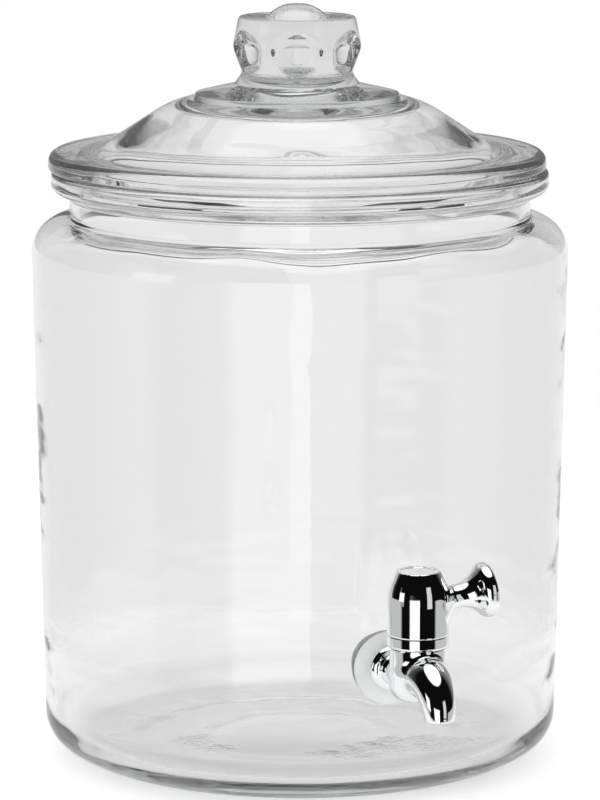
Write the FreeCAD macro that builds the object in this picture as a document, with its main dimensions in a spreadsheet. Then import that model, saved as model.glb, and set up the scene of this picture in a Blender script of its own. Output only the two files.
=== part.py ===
import FreeCAD, Part
import math
import os
import Sketcher
from FreeCAD import Placement, Rotation, Vector

# Glass drinks jar with a lid and a chromed tap, in millimetres.
# The origin is on the jar's axis at the plane it stands on, +Z is up,
# the tap points along -Y and its closed lever along +X.

SIZES = {
    # Jar outside
    "shoulder_radius": 124.6,
    "shoulder_height": 253.2,
    "shoulder_round": 15.6,
    "shoulder_flat": 0.7,
    "wall_taper": 5.0,
    "heel_height": 11.4,
    "heel_round": 17.0,
    "heel_reach": 19.1,
    "heel_low_round": 38.0,
    "foot_width": 21.5,
    "foot_recess": 1.2,
    "foot_notch_count": 30,
    "foot_notch_width": 11.0,
    "foot_notch_depth": 0.3,
    "foot_ring_width": 6.0,
    "push_up_width": 31.0,
    "push_up_rise": 2.8,
    "neck_height": 9.8,
    "neck_round": 1.6,
    "bead_overhang": 8.5,
    "bead_height": 12.5,
    "bead_slope": 4.0,
    "bead_round": 3.6,
    "bead_top_round": 2.4,
    # Jar inside
    "jar_wall": 4.5,
    "floor_thickness": 7.4,
    "inner_heel_round": 14.0,
    "inner_floor_round": 24.0,
    "mouth_chamfer": 1.4,
    "hole_gap": 0.6,
    # Lid
    "lid_edge_height": 8.7,
    "lid_edge_width": 21.8,
    "lid_edge_round": 4.7,
    "lid_under_round": 2.0,
    "slope_foot_round": 30.0,
    "slope_width": 33.6,
    "crown_rise": 21.9,
    "crown_round": 48.0,
    "crown_width": 9.4,
    "crown_lip_rise": 2.3,
    "platform_step": 3.4,
    "platform_groove": 1.0,
    "platform_rise": 2.4,
    "platform_round": 1.3,
    "lid_wall": 5.5,
    "plug_gap": 1.9,
    "plug_depth": 7.0,
    "plug_wall": 4.8,
    "plug_round": 1.6,
    "under_round": 12.0,
    "lid_shift": 1.4,
    # Knob
    "knob_neck_radius": 25.4,
    "knob_foot_flare": 3.6,
    "knob_foot_rise": 4.2,
    "knob_neck_rise": 5.0,
    "knob_neck_round": 4.0,
    "belly_bulge": 4.4,
    "belly_rise": 12.0,
    "belly_round": 9.0,
    "knob_top_step": 2.8,
    "knob_side_rise": 14.2,
    "knob_top_round": 1.8,
    "button_radius": 14.3,
    "button_slope": 5.8,
    "button_sink": 1.0,
    "button_rise": 6.6,
    "button_round": 15.4,
    # Scooped panels of the knob
    "panel_count": 6.0,
    "panel_turn": 10.7,
    "panel_depth": 1.8,
    "panel_curve": 30.0,
    "panel_foot_drop": 1.4,
    "panel_foot_reach": 3.4,
    "panel_low_rise": 4.0,
    "panel_run": 9.5,
    "panel_top_rise": 7.5,
    "panel_top_reach": 4.9,
    # Tap casting
    "tap_height": 65.5,
    "tap_reach": 33.9,
    "waterway_radius": 4.5,
    "shank_radius": 8.0,
    "shank_tail": 3.0,
    "arm_wall": 1.9,
    "flange_radius": 10.5,
    "flange_thickness": 4.2,
    "flange_round": 3.2,
    "chamber_radius": 12.45,
    "chamber_floor": 2.0,
    "chamber_round": 5.5,
    "chamber_height": 17.2,
    "chamber_neck_step": 1.05,
    "chamber_neck_rise": 3.4,
    "core_bore_radius": 8.0,
    "core_well": 0.1,
    "spout_reach": 26.3,
    "spout_rise": 5.0,
    "spout_root_radius": 11.2,
    "spout_end_radius": 6.7,
    "spout_bend": 15.3,
    "spout_wall": 1.9,
    # Bonnet ring
    "bonnet_overhang": 1.2,
    "bonnet_round": 1.1,
    "bonnet_web": 1.3,
    "bonnet_gap": 0.2,
    "thread_gap": 0.05,
    # Valve core
    "core_gap": 0.05,
    "core_foot_gap": 0.1,
    "core_top_gap": 0.2,
    "stem_radius": 4.3,
    "stem_rise": 4.7,
    "stem_height": 11.0,
    "stem_square": 6.0,
    "stem_gap": 0.05,
    "ring_section": 1.0,
    "ring_margin": 4.1,
    "ring_pitch": 5.0,
    "ring_squeeze_gap": 0.03,
    # Handle
    "handle_gap": 0.3,
    "bell_side": 20.6,
    "bell_shoulder_round": 26.0,
    "bell_crown_rise": 7.8,
    "crown_inset": 3.95,
    "crown_lip": 0.6,
    "bell_wall": 2.05,
    "bell_crown_thickness": 6.8,
    "boss_radius": 6.6,
    "disc_recess": 1.0,
    "disc_thickness": 0.9,
    "disc_rim": 0.7,
    "disc_dish": 0.35,
    "disc_gap": 0.1,
    "screw_radius": 1.5,
    "screw_length": 15.0,
    "screw_head_radius": 3.4,
    "screw_head_height": 2.2,
    "screw_well_gap": 0.4,
    "lever_rise": 13.1,
    "lever_tilt": 8.6,
    "lever_sink": 5.4,
    "lever_root_radius": 10.8,
    "lever_root_round": 6.0,
    "lever_root_run": 6.75,
    "lever_neck_radius": 5.3,
    "lever_neck_run": 8.6,
    "lever_neck_round": 11.0,
    "lever_flare_run": 5.6,
    "lever_flare_radius": 12.3,
    "lever_flare_round": 4.4,
    "lever_rim_run": 5.0,
    "lever_rim_round": 2.0,
    "lever_end_dome": 0.9,
    # Washers and nut on the shank
    "outer_washer_radius": 16.6,
    "outer_washer_thickness": 1.6,
    "inner_washer_radius": 15.6,
    "inner_washer_thickness": 2.6,
    "seat_gap": 0.2,
    "washer_bore_gap": 0.2,
    "backing_radius": 13.0,
    "backing_thickness": 1.0,
    "nut_across_flats": 23.0,
    "nut_thickness": 6.5,
    "nut_chamfer": 1.2,
}


class Size:
    """A size with its value and the sheet expression that gives it."""

    def __init__(self, value, text):
        self.value = value
        self.text = text

    def __add__(self, other):
        other = as_size(other)
        return Size(self.value + other.value, f"({self.text} + {other.text})")

    def __radd__(self, other):
        return as_size(other) + self

    def __sub__(self, other):
        other = as_size(other)
        return Size(self.value - other.value, f"({self.text} - {other.text})")

    def __rsub__(self, other):
        return as_size(other) - self

    def __mul__(self, other):
        other = as_size(other)
        return Size(self.value * other.value, f"({self.text} * {other.text})")

    def __rmul__(self, other):
        return as_size(other) * self

    def __truediv__(self, other):
        other = as_size(other)
        return Size(self.value / other.value, f"({self.text} / {other.text})")

    def __neg__(self):
        return Size(-self.value, f"(0 - {self.text})")


def as_size(number):
    """Return a Size as it is, and a plain number as a Size."""
    if isinstance(number, Size):
        return number
    return Size(float(number), repr(number))


class Sheet:
    """The document's spreadsheet, read by attribute: sizes.jar_wall."""

    def __init__(self, document, values):
        self.cells = document.addObject("Spreadsheet::Sheet", "Sizes")
        self.names = set(values)
        for row, (alias, value) in enumerate(values.items(), 1):
            self.cells.set(f"A{row}", alias)
            self.cells.set(f"B{row}", str(value))
            self.cells.setAlias(f"B{row}", alias)
        document.recompute()

    def __getattr__(self, alias):
        if alias not in self.names:
            raise AttributeError(alias)
        return Size(float(self.cells.get(alias)), f"Sizes.{alias}")


doc = FreeCAD.newDocument("drinks_jar")
sizes = Sheet(doc, SIZES)


def bind(thing, path, size):
    """Tie one property of an object to the sheet."""
    thing.setExpression(path, as_size(size).text)


def origin_feature(body, role):
    """Find a plane or an axis of the body's own origin."""
    return next(item for item in body.Origin.OriginFeatures if item.Role == role)


def new_body(name, along_y=0, height=0):
    """Start a piece whose own frame stands at (0, along_y, height)."""
    body = doc.addObject("PartDesign::Body", name)
    body.Label = name
    bind(body, "Placement.Base.y", along_y)
    bind(body, "Placement.Base.z", height)
    return body


def new_sketch(body, name, role, shift_x=0, shift_y=0, lift=0):
    """Attach a sketch to one of the body's origin planes, moved in its own frame."""
    sketch = body.newObject("Sketcher::SketchObject", name)
    sketch.AttachmentSupport = [(origin_feature(body, role), "")]
    sketch.MapMode = "FlatFace"
    bind(sketch, "AttachmentOffset.Base.x", shift_x)
    bind(sketch, "AttachmentOffset.Base.y", shift_y)
    bind(sketch, "AttachmentOffset.Base.z", lift)
    return sketch


def hold(sketch, kind, geometry, point, size):
    """Hold a point's distance from the sketch origin at a size."""
    size = as_size(size)
    index = sketch.addConstraint(Sketcher.Constraint(kind, -1, 1, geometry, point, size.value))
    sketch.setExpression(f"Constraints[{index}]", size.text)


def rounding_points(before, corner, after, radius):
    """Find where a rounding of a corner starts, peaks and ends."""
    back = (before - corner).normalize()
    ahead = (after - corner).normalize()
    half_angle = back.getAngle(ahead) / 2
    run = radius / math.tan(half_angle)
    middle = (back + ahead).normalize() * (radius / math.sin(half_angle) - radius)
    return corner + back * run, corner + middle, corner + ahead * run


def draw_outline(sketch, corners):
    """Draw a closed outline of straight lines; a corner's third value rounds it."""
    points = [Vector(as_size(x).value, as_size(y).value, 0) for x, y, *_ in corners]
    count = len(points)
    arcs = {}
    for index, (_, _, *rounding) in enumerate(corners):
        if rounding:
            before = points[index - 1]
            after = points[(index + 1) % count]
            arcs[index] = rounding_points(before, points[index], after, rounding[0].value)
    for index, point in enumerate(points):
        following = (index + 1) % count
        start = arcs[index][2] if index in arcs else point
        end = arcs[following][0] if following in arcs else points[following]
        sketch.addGeometry(Part.LineSegment(start, end), False)
    for index, (x, y, *rounding) in enumerate(corners):
        previous = (index - 1) % count
        if not rounding:
            sketch.addConstraint(Sketcher.Constraint("Coincident", previous, 2, index, 1))
            hold(sketch, "DistanceX", index, 1, x)
            hold(sketch, "DistanceY", index, 1, y)
            continue
        arc = sketch.addGeometry(Part.Arc(*arcs[index]), False)
        arriving = points[index] - points[previous]
        leaving = points[(index + 1) % count] - points[index]
        first, last = (1, 2) if arriving.cross(leaving).z > 0 else (2, 1)
        sketch.addConstraint(Sketcher.Constraint("Tangent", previous, 2, arc, first))
        sketch.addConstraint(Sketcher.Constraint("Tangent", arc, last, index, 1))
        radius = sketch.addConstraint(Sketcher.Constraint("Radius", arc, rounding[0].value))
        sketch.setExpression(f"Constraints[{radius}]", rounding[0].text)
        corner = sketch.addGeometry(Part.Point(points[index]), True)
        hold(sketch, "DistanceX", corner, 1, x)
        hold(sketch, "DistanceY", corner, 1, y)
        sketch.addConstraint(Sketcher.Constraint("PointOnObject", corner, 1, previous))
        sketch.addConstraint(Sketcher.Constraint("PointOnObject", corner, 1, index))


def draw_circle(sketch, radius, x=0, y=0):
    """Draw a circle of a held radius and centre."""
    centre = Vector(as_size(x).value, as_size(y).value, 0)
    circle = sketch.addGeometry(Part.Circle(centre, Vector(0, 0, 1), radius.value), False)
    index = sketch.addConstraint(Sketcher.Constraint("Radius", circle, radius.value))
    sketch.setExpression(f"Constraints[{index}]", radius.text)
    hold(sketch, "DistanceX", circle, 3, x)
    hold(sketch, "DistanceY", circle, 3, y)


def turn(body, name, role, axis, corners, cut=False, **placing):
    """Revolve an outline about an axis of its sketch, to add or to cut."""
    sketch = new_sketch(body, f"{name}_sketch", role, **placing)
    draw_outline(sketch, corners)
    feature = body.newObject("PartDesign::Groove" if cut else "PartDesign::Revolution", name)
    feature.Profile = sketch
    feature.ReferenceAxis = (sketch, [axis])
    feature.Angle = 360
    body.Tip = feature
    doc.recompute()
    return feature


def along_wall(height, low, high):
    """Radius of a straight wall at a height, from its low and high (radius, height)."""
    share = (height - low[1]) / (high[1] - low[1])
    return low[0] + (high[0] - low[0]) * share


# Places on the jar, from the shoulder down and then up to the rim

heel_radius = sizes.shoulder_radius - sizes.wall_taper
heel_low_radius = heel_radius - sizes.heel_reach
foot_radius = heel_low_radius - sizes.foot_width
push_up_radius = foot_radius - sizes.push_up_width
neck_radius = sizes.shoulder_radius - sizes.shoulder_round - sizes.shoulder_flat - sizes.neck_round
mouth_radius = neck_radius - sizes.jar_wall
bead_radius = neck_radius + sizes.bead_overhang
bead_foot = sizes.shoulder_height + sizes.neck_height
rim_height = bead_foot + sizes.bead_height
outer_heel = (heel_radius, sizes.heel_height)
outer_shoulder = (sizes.shoulder_radius, sizes.shoulder_height)
inner_heel = (heel_radius - sizes.jar_wall, sizes.heel_height + sizes.jar_wall)
inner_shoulder = (sizes.shoulder_radius - sizes.jar_wall, sizes.shoulder_height - sizes.jar_wall)

# Places along the tap's axis, as distances from the jar's axis

wall_outside = along_wall(sizes.tap_height, outer_heel, outer_shoulder)
wall_inside = along_wall(sizes.tap_height, inner_heel, inner_shoulder)
flange_back = wall_outside + sizes.outer_washer_thickness
valve_distance = flange_back + sizes.tap_reach
inner_washer_face = wall_inside - sizes.inner_washer_thickness
nut_face = inner_washer_face - sizes.backing_thickness
nut_end = nut_face - sizes.nut_thickness

# Places up the valve's axis, as heights above the tap's axis

core_bore_foot = sizes.waterway_radius + sizes.core_well
chamber_foot = core_bore_foot + sizes.chamber_floor
chamber_neck_radius = sizes.chamber_radius - sizes.chamber_neck_step
chamber_top = sizes.chamber_height + sizes.chamber_neck_rise
bonnet_radius = sizes.chamber_radius + sizes.bonnet_overhang
bonnet_top = chamber_top + sizes.bonnet_gap + sizes.bonnet_web
port_height = sizes.spout_rise / 2
ring_low_height = port_height + sizes.waterway_radius + sizes.ring_margin
stem_shoulder = bonnet_top + sizes.stem_rise
stem_top = stem_shoulder + sizes.stem_height
bell_foot = bonnet_top + sizes.handle_gap
bell_shoulder = bell_foot + sizes.bell_side
bell_top = bell_shoulder + sizes.bell_crown_rise
bell_crown_radius = bonnet_radius - sizes.crown_inset
recess_floor = bell_top - sizes.disc_recess
recess_radius = bell_crown_radius - sizes.crown_lip
well_floor = recess_floor - sizes.screw_head_height


def repeat_round(body, cut, name, count):
    """Repeat a cut evenly round the body's axis."""
    pattern = body.newObject("PartDesign::PolarPattern", name)
    pattern.Originals = [cut]
    pattern.Axis = (origin_feature(body, "Z_Axis"), [""])
    pattern.Angle = 360
    bind(pattern, "Occurrences", count)
    body.Tip = pattern
    doc.recompute()


def notch_foot(body):
    """Shallow notches outside the foot ring, which leave short grip bars round it."""
    half_width = sizes.foot_notch_width / 2
    sketch = new_sketch(body, "foot_notch_sketch", "XY_Plane")
    draw_outline(sketch, [
        (foot_radius + sizes.foot_ring_width, -half_width),
        (heel_low_radius, -half_width),
        (heel_low_radius, half_width),
        (foot_radius + sizes.foot_ring_width, half_width),
    ])
    notch = body.newObject("PartDesign::Pocket", "foot_notch")
    notch.Profile = sketch
    notch.Reversed = True
    bind(notch, "Length", sizes.foot_notch_depth)
    body.Tip = notch
    doc.recompute()
    repeat_round(body, notch, "foot_notches", sizes.foot_notch_count)


def make_jar():
    """Blown and pressed glass vessel: solid outer form, hollowed, drilled for the tap, foot notched."""
    body = new_body("jar")
    turn(body, "jar_form", "XZ_Plane", "V_Axis", [
        (0, sizes.foot_recess + sizes.push_up_rise),
        (push_up_radius, sizes.foot_recess),
        (foot_radius - sizes.foot_recess, sizes.foot_recess),
        (foot_radius, 0),
        (heel_low_radius, 0, sizes.heel_low_round),
        (*outer_heel, sizes.heel_round),
        (*outer_shoulder, sizes.shoulder_round),
        (neck_radius, sizes.shoulder_height, sizes.neck_round),
        (neck_radius, bead_foot, sizes.neck_round),
        (bead_radius, bead_foot + sizes.bead_slope, sizes.bead_round),
        (bead_radius, rim_height, sizes.bead_top_round),
        (0, rim_height),
    ])
    turn(body, "jar_cavity", "XZ_Plane", "V_Axis", [
        (0, sizes.floor_thickness + sizes.push_up_rise),
        (push_up_radius, sizes.floor_thickness),
        (heel_low_radius, sizes.floor_thickness, sizes.inner_floor_round),
        (*inner_heel, sizes.inner_heel_round),
        (*inner_shoulder, sizes.shoulder_round - sizes.jar_wall),
        (mouth_radius, inner_shoulder[1], sizes.neck_round + sizes.jar_wall / 2),
        (mouth_radius, rim_height - sizes.mouth_chamfer),
        (mouth_radius + sizes.mouth_chamfer, rim_height),
        (mouth_radius + sizes.mouth_chamfer, rim_height + sizes.mouth_chamfer),
        (0, rim_height + sizes.mouth_chamfer),
    ], cut=True)
    hole_sketch = new_sketch(body, "tap_hole_sketch", "XZ_Plane")
    draw_circle(hole_sketch, sizes.shank_radius + sizes.hole_gap, 0, sizes.tap_height)
    hole = body.newObject("PartDesign::Pocket", "tap_hole")
    hole.Profile = hole_sketch
    bind(hole, "Length", sizes.shoulder_radius)
    body.Tip = hole
    doc.recompute()
    if hole.Shape.isInside(Vector(0, -wall_outside.value + sizes.jar_wall.value / 2,
                                  sizes.tap_height.value), 0.01, False):
        hole.Reversed = True
        doc.recompute()
    notch_foot(body)
    return body


def make_lid():
    """Pressed glass lid: knob, platform, ogee slope, flange and plug ring, then six scooped panels."""
    body = new_body("lid")
    edge_top = rim_height + sizes.lid_edge_height
    plug_radius = mouth_radius - sizes.plug_gap
    plug_foot = rim_height - sizes.plug_depth
    plug_inside = plug_radius - sizes.plug_wall
    slope_foot_radius = bead_radius - sizes.lid_edge_width
    crown_radius = slope_foot_radius - sizes.slope_width
    crown_height = edge_top + sizes.crown_rise
    lip_radius = crown_radius - sizes.crown_width
    lip_height = crown_height + sizes.crown_lip_rise
    platform_radius = lip_radius - sizes.platform_step
    platform_height = lip_height + sizes.platform_rise
    knob_foot_height = platform_height + sizes.knob_foot_rise
    knob_neck_height = knob_foot_height + sizes.knob_neck_rise
    belly_radius = sizes.knob_neck_radius + sizes.belly_bulge
    belly_height = knob_neck_height + sizes.belly_rise
    knob_top = belly_height + sizes.knob_side_rise
    button_foot = knob_top - sizes.button_sink
    button_top = button_foot + sizes.button_rise
    turn(body, "lid_form", "XZ_Plane", "V_Axis", [
        (0, crown_height - sizes.lid_wall),
        (crown_radius - sizes.lid_wall, crown_height - sizes.lid_wall, sizes.under_round),
        (plug_inside, rim_height + sizes.lid_wall / 2, sizes.plug_round),
        (plug_inside, plug_foot, sizes.plug_round),
        (plug_radius, plug_foot, sizes.plug_round),
        (plug_radius, rim_height),
        (bead_radius, rim_height, sizes.lid_under_round),
        (bead_radius, edge_top, sizes.lid_edge_round),
        (slope_foot_radius, edge_top, sizes.slope_foot_round),
        (crown_radius, crown_height, sizes.crown_round),
        (lip_radius, lip_height),
        (platform_radius + sizes.platform_groove, lip_height - sizes.platform_groove),
        (platform_radius, platform_height, sizes.platform_round),
        (sizes.knob_neck_radius + sizes.knob_foot_flare, knob_foot_height),
        (sizes.knob_neck_radius, knob_neck_height, sizes.knob_neck_round),
        (belly_radius, belly_height, sizes.belly_round),
        (belly_radius - sizes.knob_top_step, knob_top, sizes.knob_top_round),
        (sizes.button_radius, button_foot),
        (sizes.button_radius - sizes.button_slope, button_top, sizes.button_round),
        (0, button_top),
    ])
    panel_foot = knob_neck_height - sizes.panel_foot_drop
    panel_low = knob_neck_height + sizes.panel_low_rise
    panel_high = panel_low + sizes.panel_run
    panel_top = panel_high + sizes.panel_top_rise
    cutter_axis = sizes.knob_neck_radius - sizes.panel_depth + sizes.panel_curve
    panel = turn(body, "knob_panel", "XZ_Plane", "V_Axis", [
        (0, panel_foot),
        (sizes.panel_foot_reach - sizes.panel_curve, panel_foot),
        (-sizes.panel_curve, panel_low, sizes.knob_neck_round),
        (-sizes.panel_curve, panel_high, sizes.belly_round),
        (sizes.panel_top_reach - sizes.panel_curve, panel_top),
        (0, panel_top),
    ], cut=True, shift_x=cutter_axis)
    repeat_round(body, panel, "knob_panels", sizes.panel_count)
    body.Placement = Placement(Vector(), Rotation(Vector(0, 0, 1), sizes.panel_turn.value))
    bind(body, "Placement.Base.x", -sizes.lid_shift)
    return body


def pipe(body, name, spine, profile, ends, cut=False):
    """Sweep a circle along a spine, through the circle at its end."""
    feature = body.newObject("PartDesign::SubtractivePipe" if cut else "PartDesign::AdditivePipe", name)
    feature.Profile = profile
    feature.Spine = (spine, [])
    feature.Transformation = "Multisection"
    feature.Sections = ends
    body.Tip = feature
    doc.recompute()
    return feature


def draw_spout_line(sketch):
    """Draw the spout's centre line: straight forward, then one bend down to the outlet."""
    reach = -sizes.spout_reach
    bend_start = reach + sizes.spout_bend
    bend_foot = sizes.spout_rise - sizes.spout_bend
    start = Vector(0, sizes.spout_rise.value, 0)
    bend_in = Vector(bend_start.value, sizes.spout_rise.value, 0)
    centre = Vector(bend_start.value, bend_foot.value, 0)
    sketch.addGeometry(Part.LineSegment(start, bend_in), False)
    arc = Part.ArcOfCircle(Part.Circle(centre, Vector(0, 0, 1), sizes.spout_bend.value),
                           math.pi / 2, math.pi)
    sketch.addGeometry(arc, False)
    hold(sketch, "DistanceX", 0, 1, 0)
    hold(sketch, "DistanceY", 0, 1, sizes.spout_rise)
    sketch.addConstraint(Sketcher.Constraint("Tangent", 0, 2, 1, 1))
    sketch.addConstraint(Sketcher.Constraint("Horizontal", 0))
    hold(sketch, "DistanceX", 1, 3, bend_start)
    hold(sketch, "DistanceX", 1, 2, reach)
    hold(sketch, "DistanceY", 1, 2, bend_foot)


def make_tap_body():
    """Chromed casting: chamber, arm, flange and hollow shank, and the swept spout."""
    body = new_body("tap_body", -valve_distance, sizes.tap_height)
    turn(body, "chamber", "XZ_Plane", "V_Axis", [
        (0, -chamber_foot),
        (sizes.chamber_radius, -chamber_foot, sizes.chamber_round),
        (sizes.chamber_radius, sizes.chamber_height),
        (chamber_neck_radius, sizes.chamber_height),
        (chamber_neck_radius, chamber_top),
        (0, chamber_top),
    ])
    arm_radius = sizes.waterway_radius + sizes.arm_wall
    flange_front = sizes.tap_reach - sizes.flange_thickness
    shank_end = valve_distance - nut_end + sizes.shank_tail
    turn(body, "arm_flange_and_shank", "YZ_Plane", "H_Axis", [
        (0, 0),
        (0, arm_radius),
        (flange_front, arm_radius),
        (flange_front, sizes.flange_radius, sizes.flange_round),
        (sizes.tap_reach, sizes.flange_radius),
        (sizes.tap_reach, sizes.shank_radius),
        (shank_end, sizes.shank_radius),
        (shank_end, 0),
    ])
    spine = new_sketch(body, "spout_line", "YZ_Plane")
    draw_spout_line(spine)
    bend_foot = sizes.spout_rise - sizes.spout_bend
    root = new_sketch(body, "spout_root", "XZ_Plane")
    draw_circle(root, sizes.spout_root_radius, 0, sizes.spout_rise)
    end = new_sketch(body, "spout_end", "XY_Plane", lift=bend_foot)
    draw_circle(end, sizes.spout_end_radius, 0, -sizes.spout_reach)
    doc.recompute()
    pipe(body, "spout", spine, root, [end])
    bore_root = new_sketch(body, "spout_bore_root", "XZ_Plane")
    draw_circle(bore_root, sizes.waterway_radius, 0, sizes.spout_rise)
    bore_end = new_sketch(body, "spout_bore_end", "XY_Plane", lift=bend_foot)
    draw_circle(bore_end, sizes.spout_end_radius - sizes.spout_wall, 0, -sizes.spout_reach)
    doc.recompute()
    pipe(body, "spout_bore", spine, bore_root, [bore_end], cut=True)
    turn(body, "core_bore", "XZ_Plane", "V_Axis", [
        (0, -core_bore_foot),
        (sizes.core_bore_radius, -core_bore_foot),
        (sizes.core_bore_radius, chamber_top),
        (0, chamber_top),
    ], cut=True)
    turn(body, "shank_bore", "YZ_Plane", "H_Axis", [
        (0, 0),
        (0, sizes.waterway_radius),
        (shank_end, sizes.waterway_radius),
        (shank_end, 0),
    ], cut=True)
    return body


def make_bonnet_ring():
    """Collar screwed on the chamber's neck, which holds the core down."""
    body = new_body("bonnet_ring", -valve_distance, sizes.tap_height)
    inside = chamber_neck_radius + sizes.thread_gap
    web_foot = bonnet_top - sizes.bonnet_web
    turn(body, "bonnet_form", "XZ_Plane", "V_Axis", [
        (inside, sizes.chamber_height),
        (bonnet_radius, sizes.chamber_height, sizes.bonnet_round),
        (bonnet_radius, bonnet_top),
        (sizes.stem_radius + sizes.core_gap, bonnet_top),
        (sizes.stem_radius + sizes.core_gap, web_foot),
        (inside, web_foot),
    ])
    return body


def ring_groove(height):
    """Corners of the groove that an O-ring at a height lies in, seen as a cut in the core."""
    core_radius = sizes.core_bore_radius - sizes.core_gap
    groove_radius = sizes.core_bore_radius - 2 * sizes.ring_section
    return [
        (groove_radius, height - sizes.ring_section),
        (core_radius + sizes.core_gap, height - sizes.ring_section),
        (core_radius + sizes.core_gap, height + sizes.ring_section),
        (groove_radius, height + sizes.ring_section),
    ]


def make_valve_core():
    """Turned plug with a cross port, two ring grooves and a square stem for the handle."""
    body = new_body("valve_core", -valve_distance, sizes.tap_height)
    core_radius = sizes.core_bore_radius - sizes.core_gap
    core_foot = sizes.core_foot_gap - core_bore_foot
    core_top = chamber_top - sizes.core_top_gap
    turn(body, "core_form", "XZ_Plane", "V_Axis", [
        (0, core_foot),
        (core_radius, core_foot),
        (core_radius, core_top),
        (sizes.stem_radius, core_top),
        (sizes.stem_radius, stem_shoulder),
        (0, stem_shoulder),
    ])
    square = new_sketch(body, "stem_sketch", "XY_Plane", lift=stem_shoulder)
    half = sizes.stem_square / 2
    draw_outline(square, [(-half, -half), (half, -half), (half, half), (-half, half)])
    stem = body.newObject("PartDesign::Pad", "stem")
    stem.Profile = square
    bind(stem, "Length", sizes.stem_height)
    body.Tip = stem
    doc.recompute()
    for name, step in (("low_groove", 0), ("high_groove", 1)):
        height = ring_low_height + step * sizes.ring_pitch
        turn(body, name, "XZ_Plane", "V_Axis", ring_groove(height), cut=True)
    turn(body, "cross_port", "XZ_Plane", "H_Axis", [
        (-core_radius - sizes.core_gap, 0),
        (-core_radius - sizes.core_gap, sizes.waterway_radius),
        (core_radius + sizes.core_gap, sizes.waterway_radius),
        (core_radius + sizes.core_gap, 0),
    ], cut=True, shift_y=port_height)
    screw_foot = well_floor - sizes.screw_length
    turn(body, "screw_hole", "XZ_Plane", "V_Axis", [
        (0, screw_foot),
        (sizes.screw_radius + sizes.thread_gap, screw_foot),
        (sizes.screw_radius + sizes.thread_gap, stem_top),
        (0, stem_top),
    ], cut=True)
    return body


def make_core_rings():
    """Two O-rings in the core's grooves, made as one group of like solids."""
    rings = []
    section = sizes.ring_section - sizes.ring_squeeze_gap
    for name, step in (("low_ring", 0), ("high_ring", 1)):
        ring = doc.addObject("Part::Torus", name)
        height = sizes.tap_height + ring_low_height + step * sizes.ring_pitch
        bind(ring, "Radius1", sizes.core_bore_radius - sizes.ring_section)
        bind(ring, "Radius2", section)
        bind(ring, "Placement.Base.y", -valve_distance)
        bind(ring, "Placement.Base.z", height)
        rings.append(ring)
    group = doc.addObject("Part::Compound", "core_rings")
    group.Label = "core_rings"
    group.Links = rings
    doc.recompute()
    return group


def make_tap_handle():
    """Bell cap with its flared lever, hollow below, with a boss that fits the square stem."""
    body = new_body("tap_handle", -valve_distance, sizes.tap_height)
    turn(body, "bell", "XZ_Plane", "V_Axis", [
        (0, bell_foot),
        (bonnet_radius, bell_foot),
        (bonnet_radius, bell_shoulder, sizes.bell_shoulder_round),
        (bell_crown_radius, bell_top),
        (0, bell_top),
    ])
    root = bonnet_radius - sizes.lever_sink
    neck_start = root + sizes.lever_root_run
    neck_end = neck_start + sizes.lever_neck_run
    flare = neck_end + sizes.lever_flare_run
    rim = flare + sizes.lever_rim_run
    lever = turn(body, "lever", "XZ_Plane", "H_Axis", [
        (root, 0),
        (root, sizes.lever_root_radius),
        (neck_start, sizes.lever_neck_radius, sizes.lever_root_round),
        (neck_end, sizes.lever_neck_radius, sizes.lever_neck_round),
        (flare, sizes.lever_flare_radius, sizes.lever_flare_round),
        (rim, sizes.lever_flare_radius, sizes.lever_rim_round),
        (rim + sizes.lever_end_dome, 0),
    ], shift_y=bell_foot + sizes.lever_rise)
    bind(lever.Profile[0], "AttachmentOffset.Rotation.Angle", sizes.lever_tilt)
    doc.recompute()
    cavity_radius = bonnet_radius - sizes.bell_wall
    cavity_top = bell_top - sizes.bell_crown_thickness
    turn(body, "bell_cavity", "XZ_Plane", "V_Axis", [
        (sizes.boss_radius, bell_foot),
        (cavity_radius, bell_foot),
        (cavity_radius, bell_shoulder),
        (bell_crown_radius - sizes.bell_wall / 2, cavity_top),
        (sizes.boss_radius, cavity_top),
    ], cut=True)
    turn(body, "boss_relief", "XZ_Plane", "V_Axis", [
        (0, bell_foot),
        (sizes.boss_radius, bell_foot),
        (sizes.boss_radius, stem_shoulder),
        (0, stem_shoulder),
    ], cut=True)
    well_radius = sizes.screw_head_radius + sizes.screw_well_gap
    turn(body, "crown_recess", "XZ_Plane", "V_Axis", [
        (0, well_floor),
        (well_radius, well_floor),
        (well_radius, recess_floor),
        (recess_radius, recess_floor),
        (recess_radius, bell_top),
        (0, bell_top),
    ], cut=True)
    turn(body, "screw_way", "XZ_Plane", "V_Axis", [
        (0, stem_shoulder),
        (sizes.screw_radius + sizes.screw_well_gap, stem_shoulder),
        (sizes.screw_radius + sizes.screw_well_gap, well_floor),
        (0, well_floor),
    ], cut=True)
    square = new_sketch(body, "socket_sketch", "XY_Plane", lift=stem_shoulder)
    half = sizes.stem_square / 2 + sizes.stem_gap
    draw_outline(square, [(-half, -half), (half, -half), (half, half), (-half, half)])
    socket = body.newObject("PartDesign::Pocket", "stem_socket")
    socket.Profile = square
    socket.Reversed = True
    bind(socket, "Length", sizes.stem_height + sizes.stem_gap)
    body.Tip = socket
    doc.recompute()
    return body


def make_handle_disc():
    """Dished disc pressed in the crown of the bell, over the screw."""
    body = new_body("handle_disc", -valve_distance, sizes.tap_height)
    disc_radius = recess_radius - sizes.disc_gap
    disc_top = recess_floor + sizes.disc_thickness
    dish_radius = disc_radius - sizes.disc_rim
    turn(body, "disc_form", "XZ_Plane", "V_Axis", [
        (0, recess_floor),
        (disc_radius, recess_floor),
        (disc_radius, disc_top),
        (dish_radius, disc_top),
        (dish_radius - sizes.disc_rim, disc_top - sizes.disc_dish),
        (0, disc_top - sizes.disc_dish),
    ])
    return body


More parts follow.
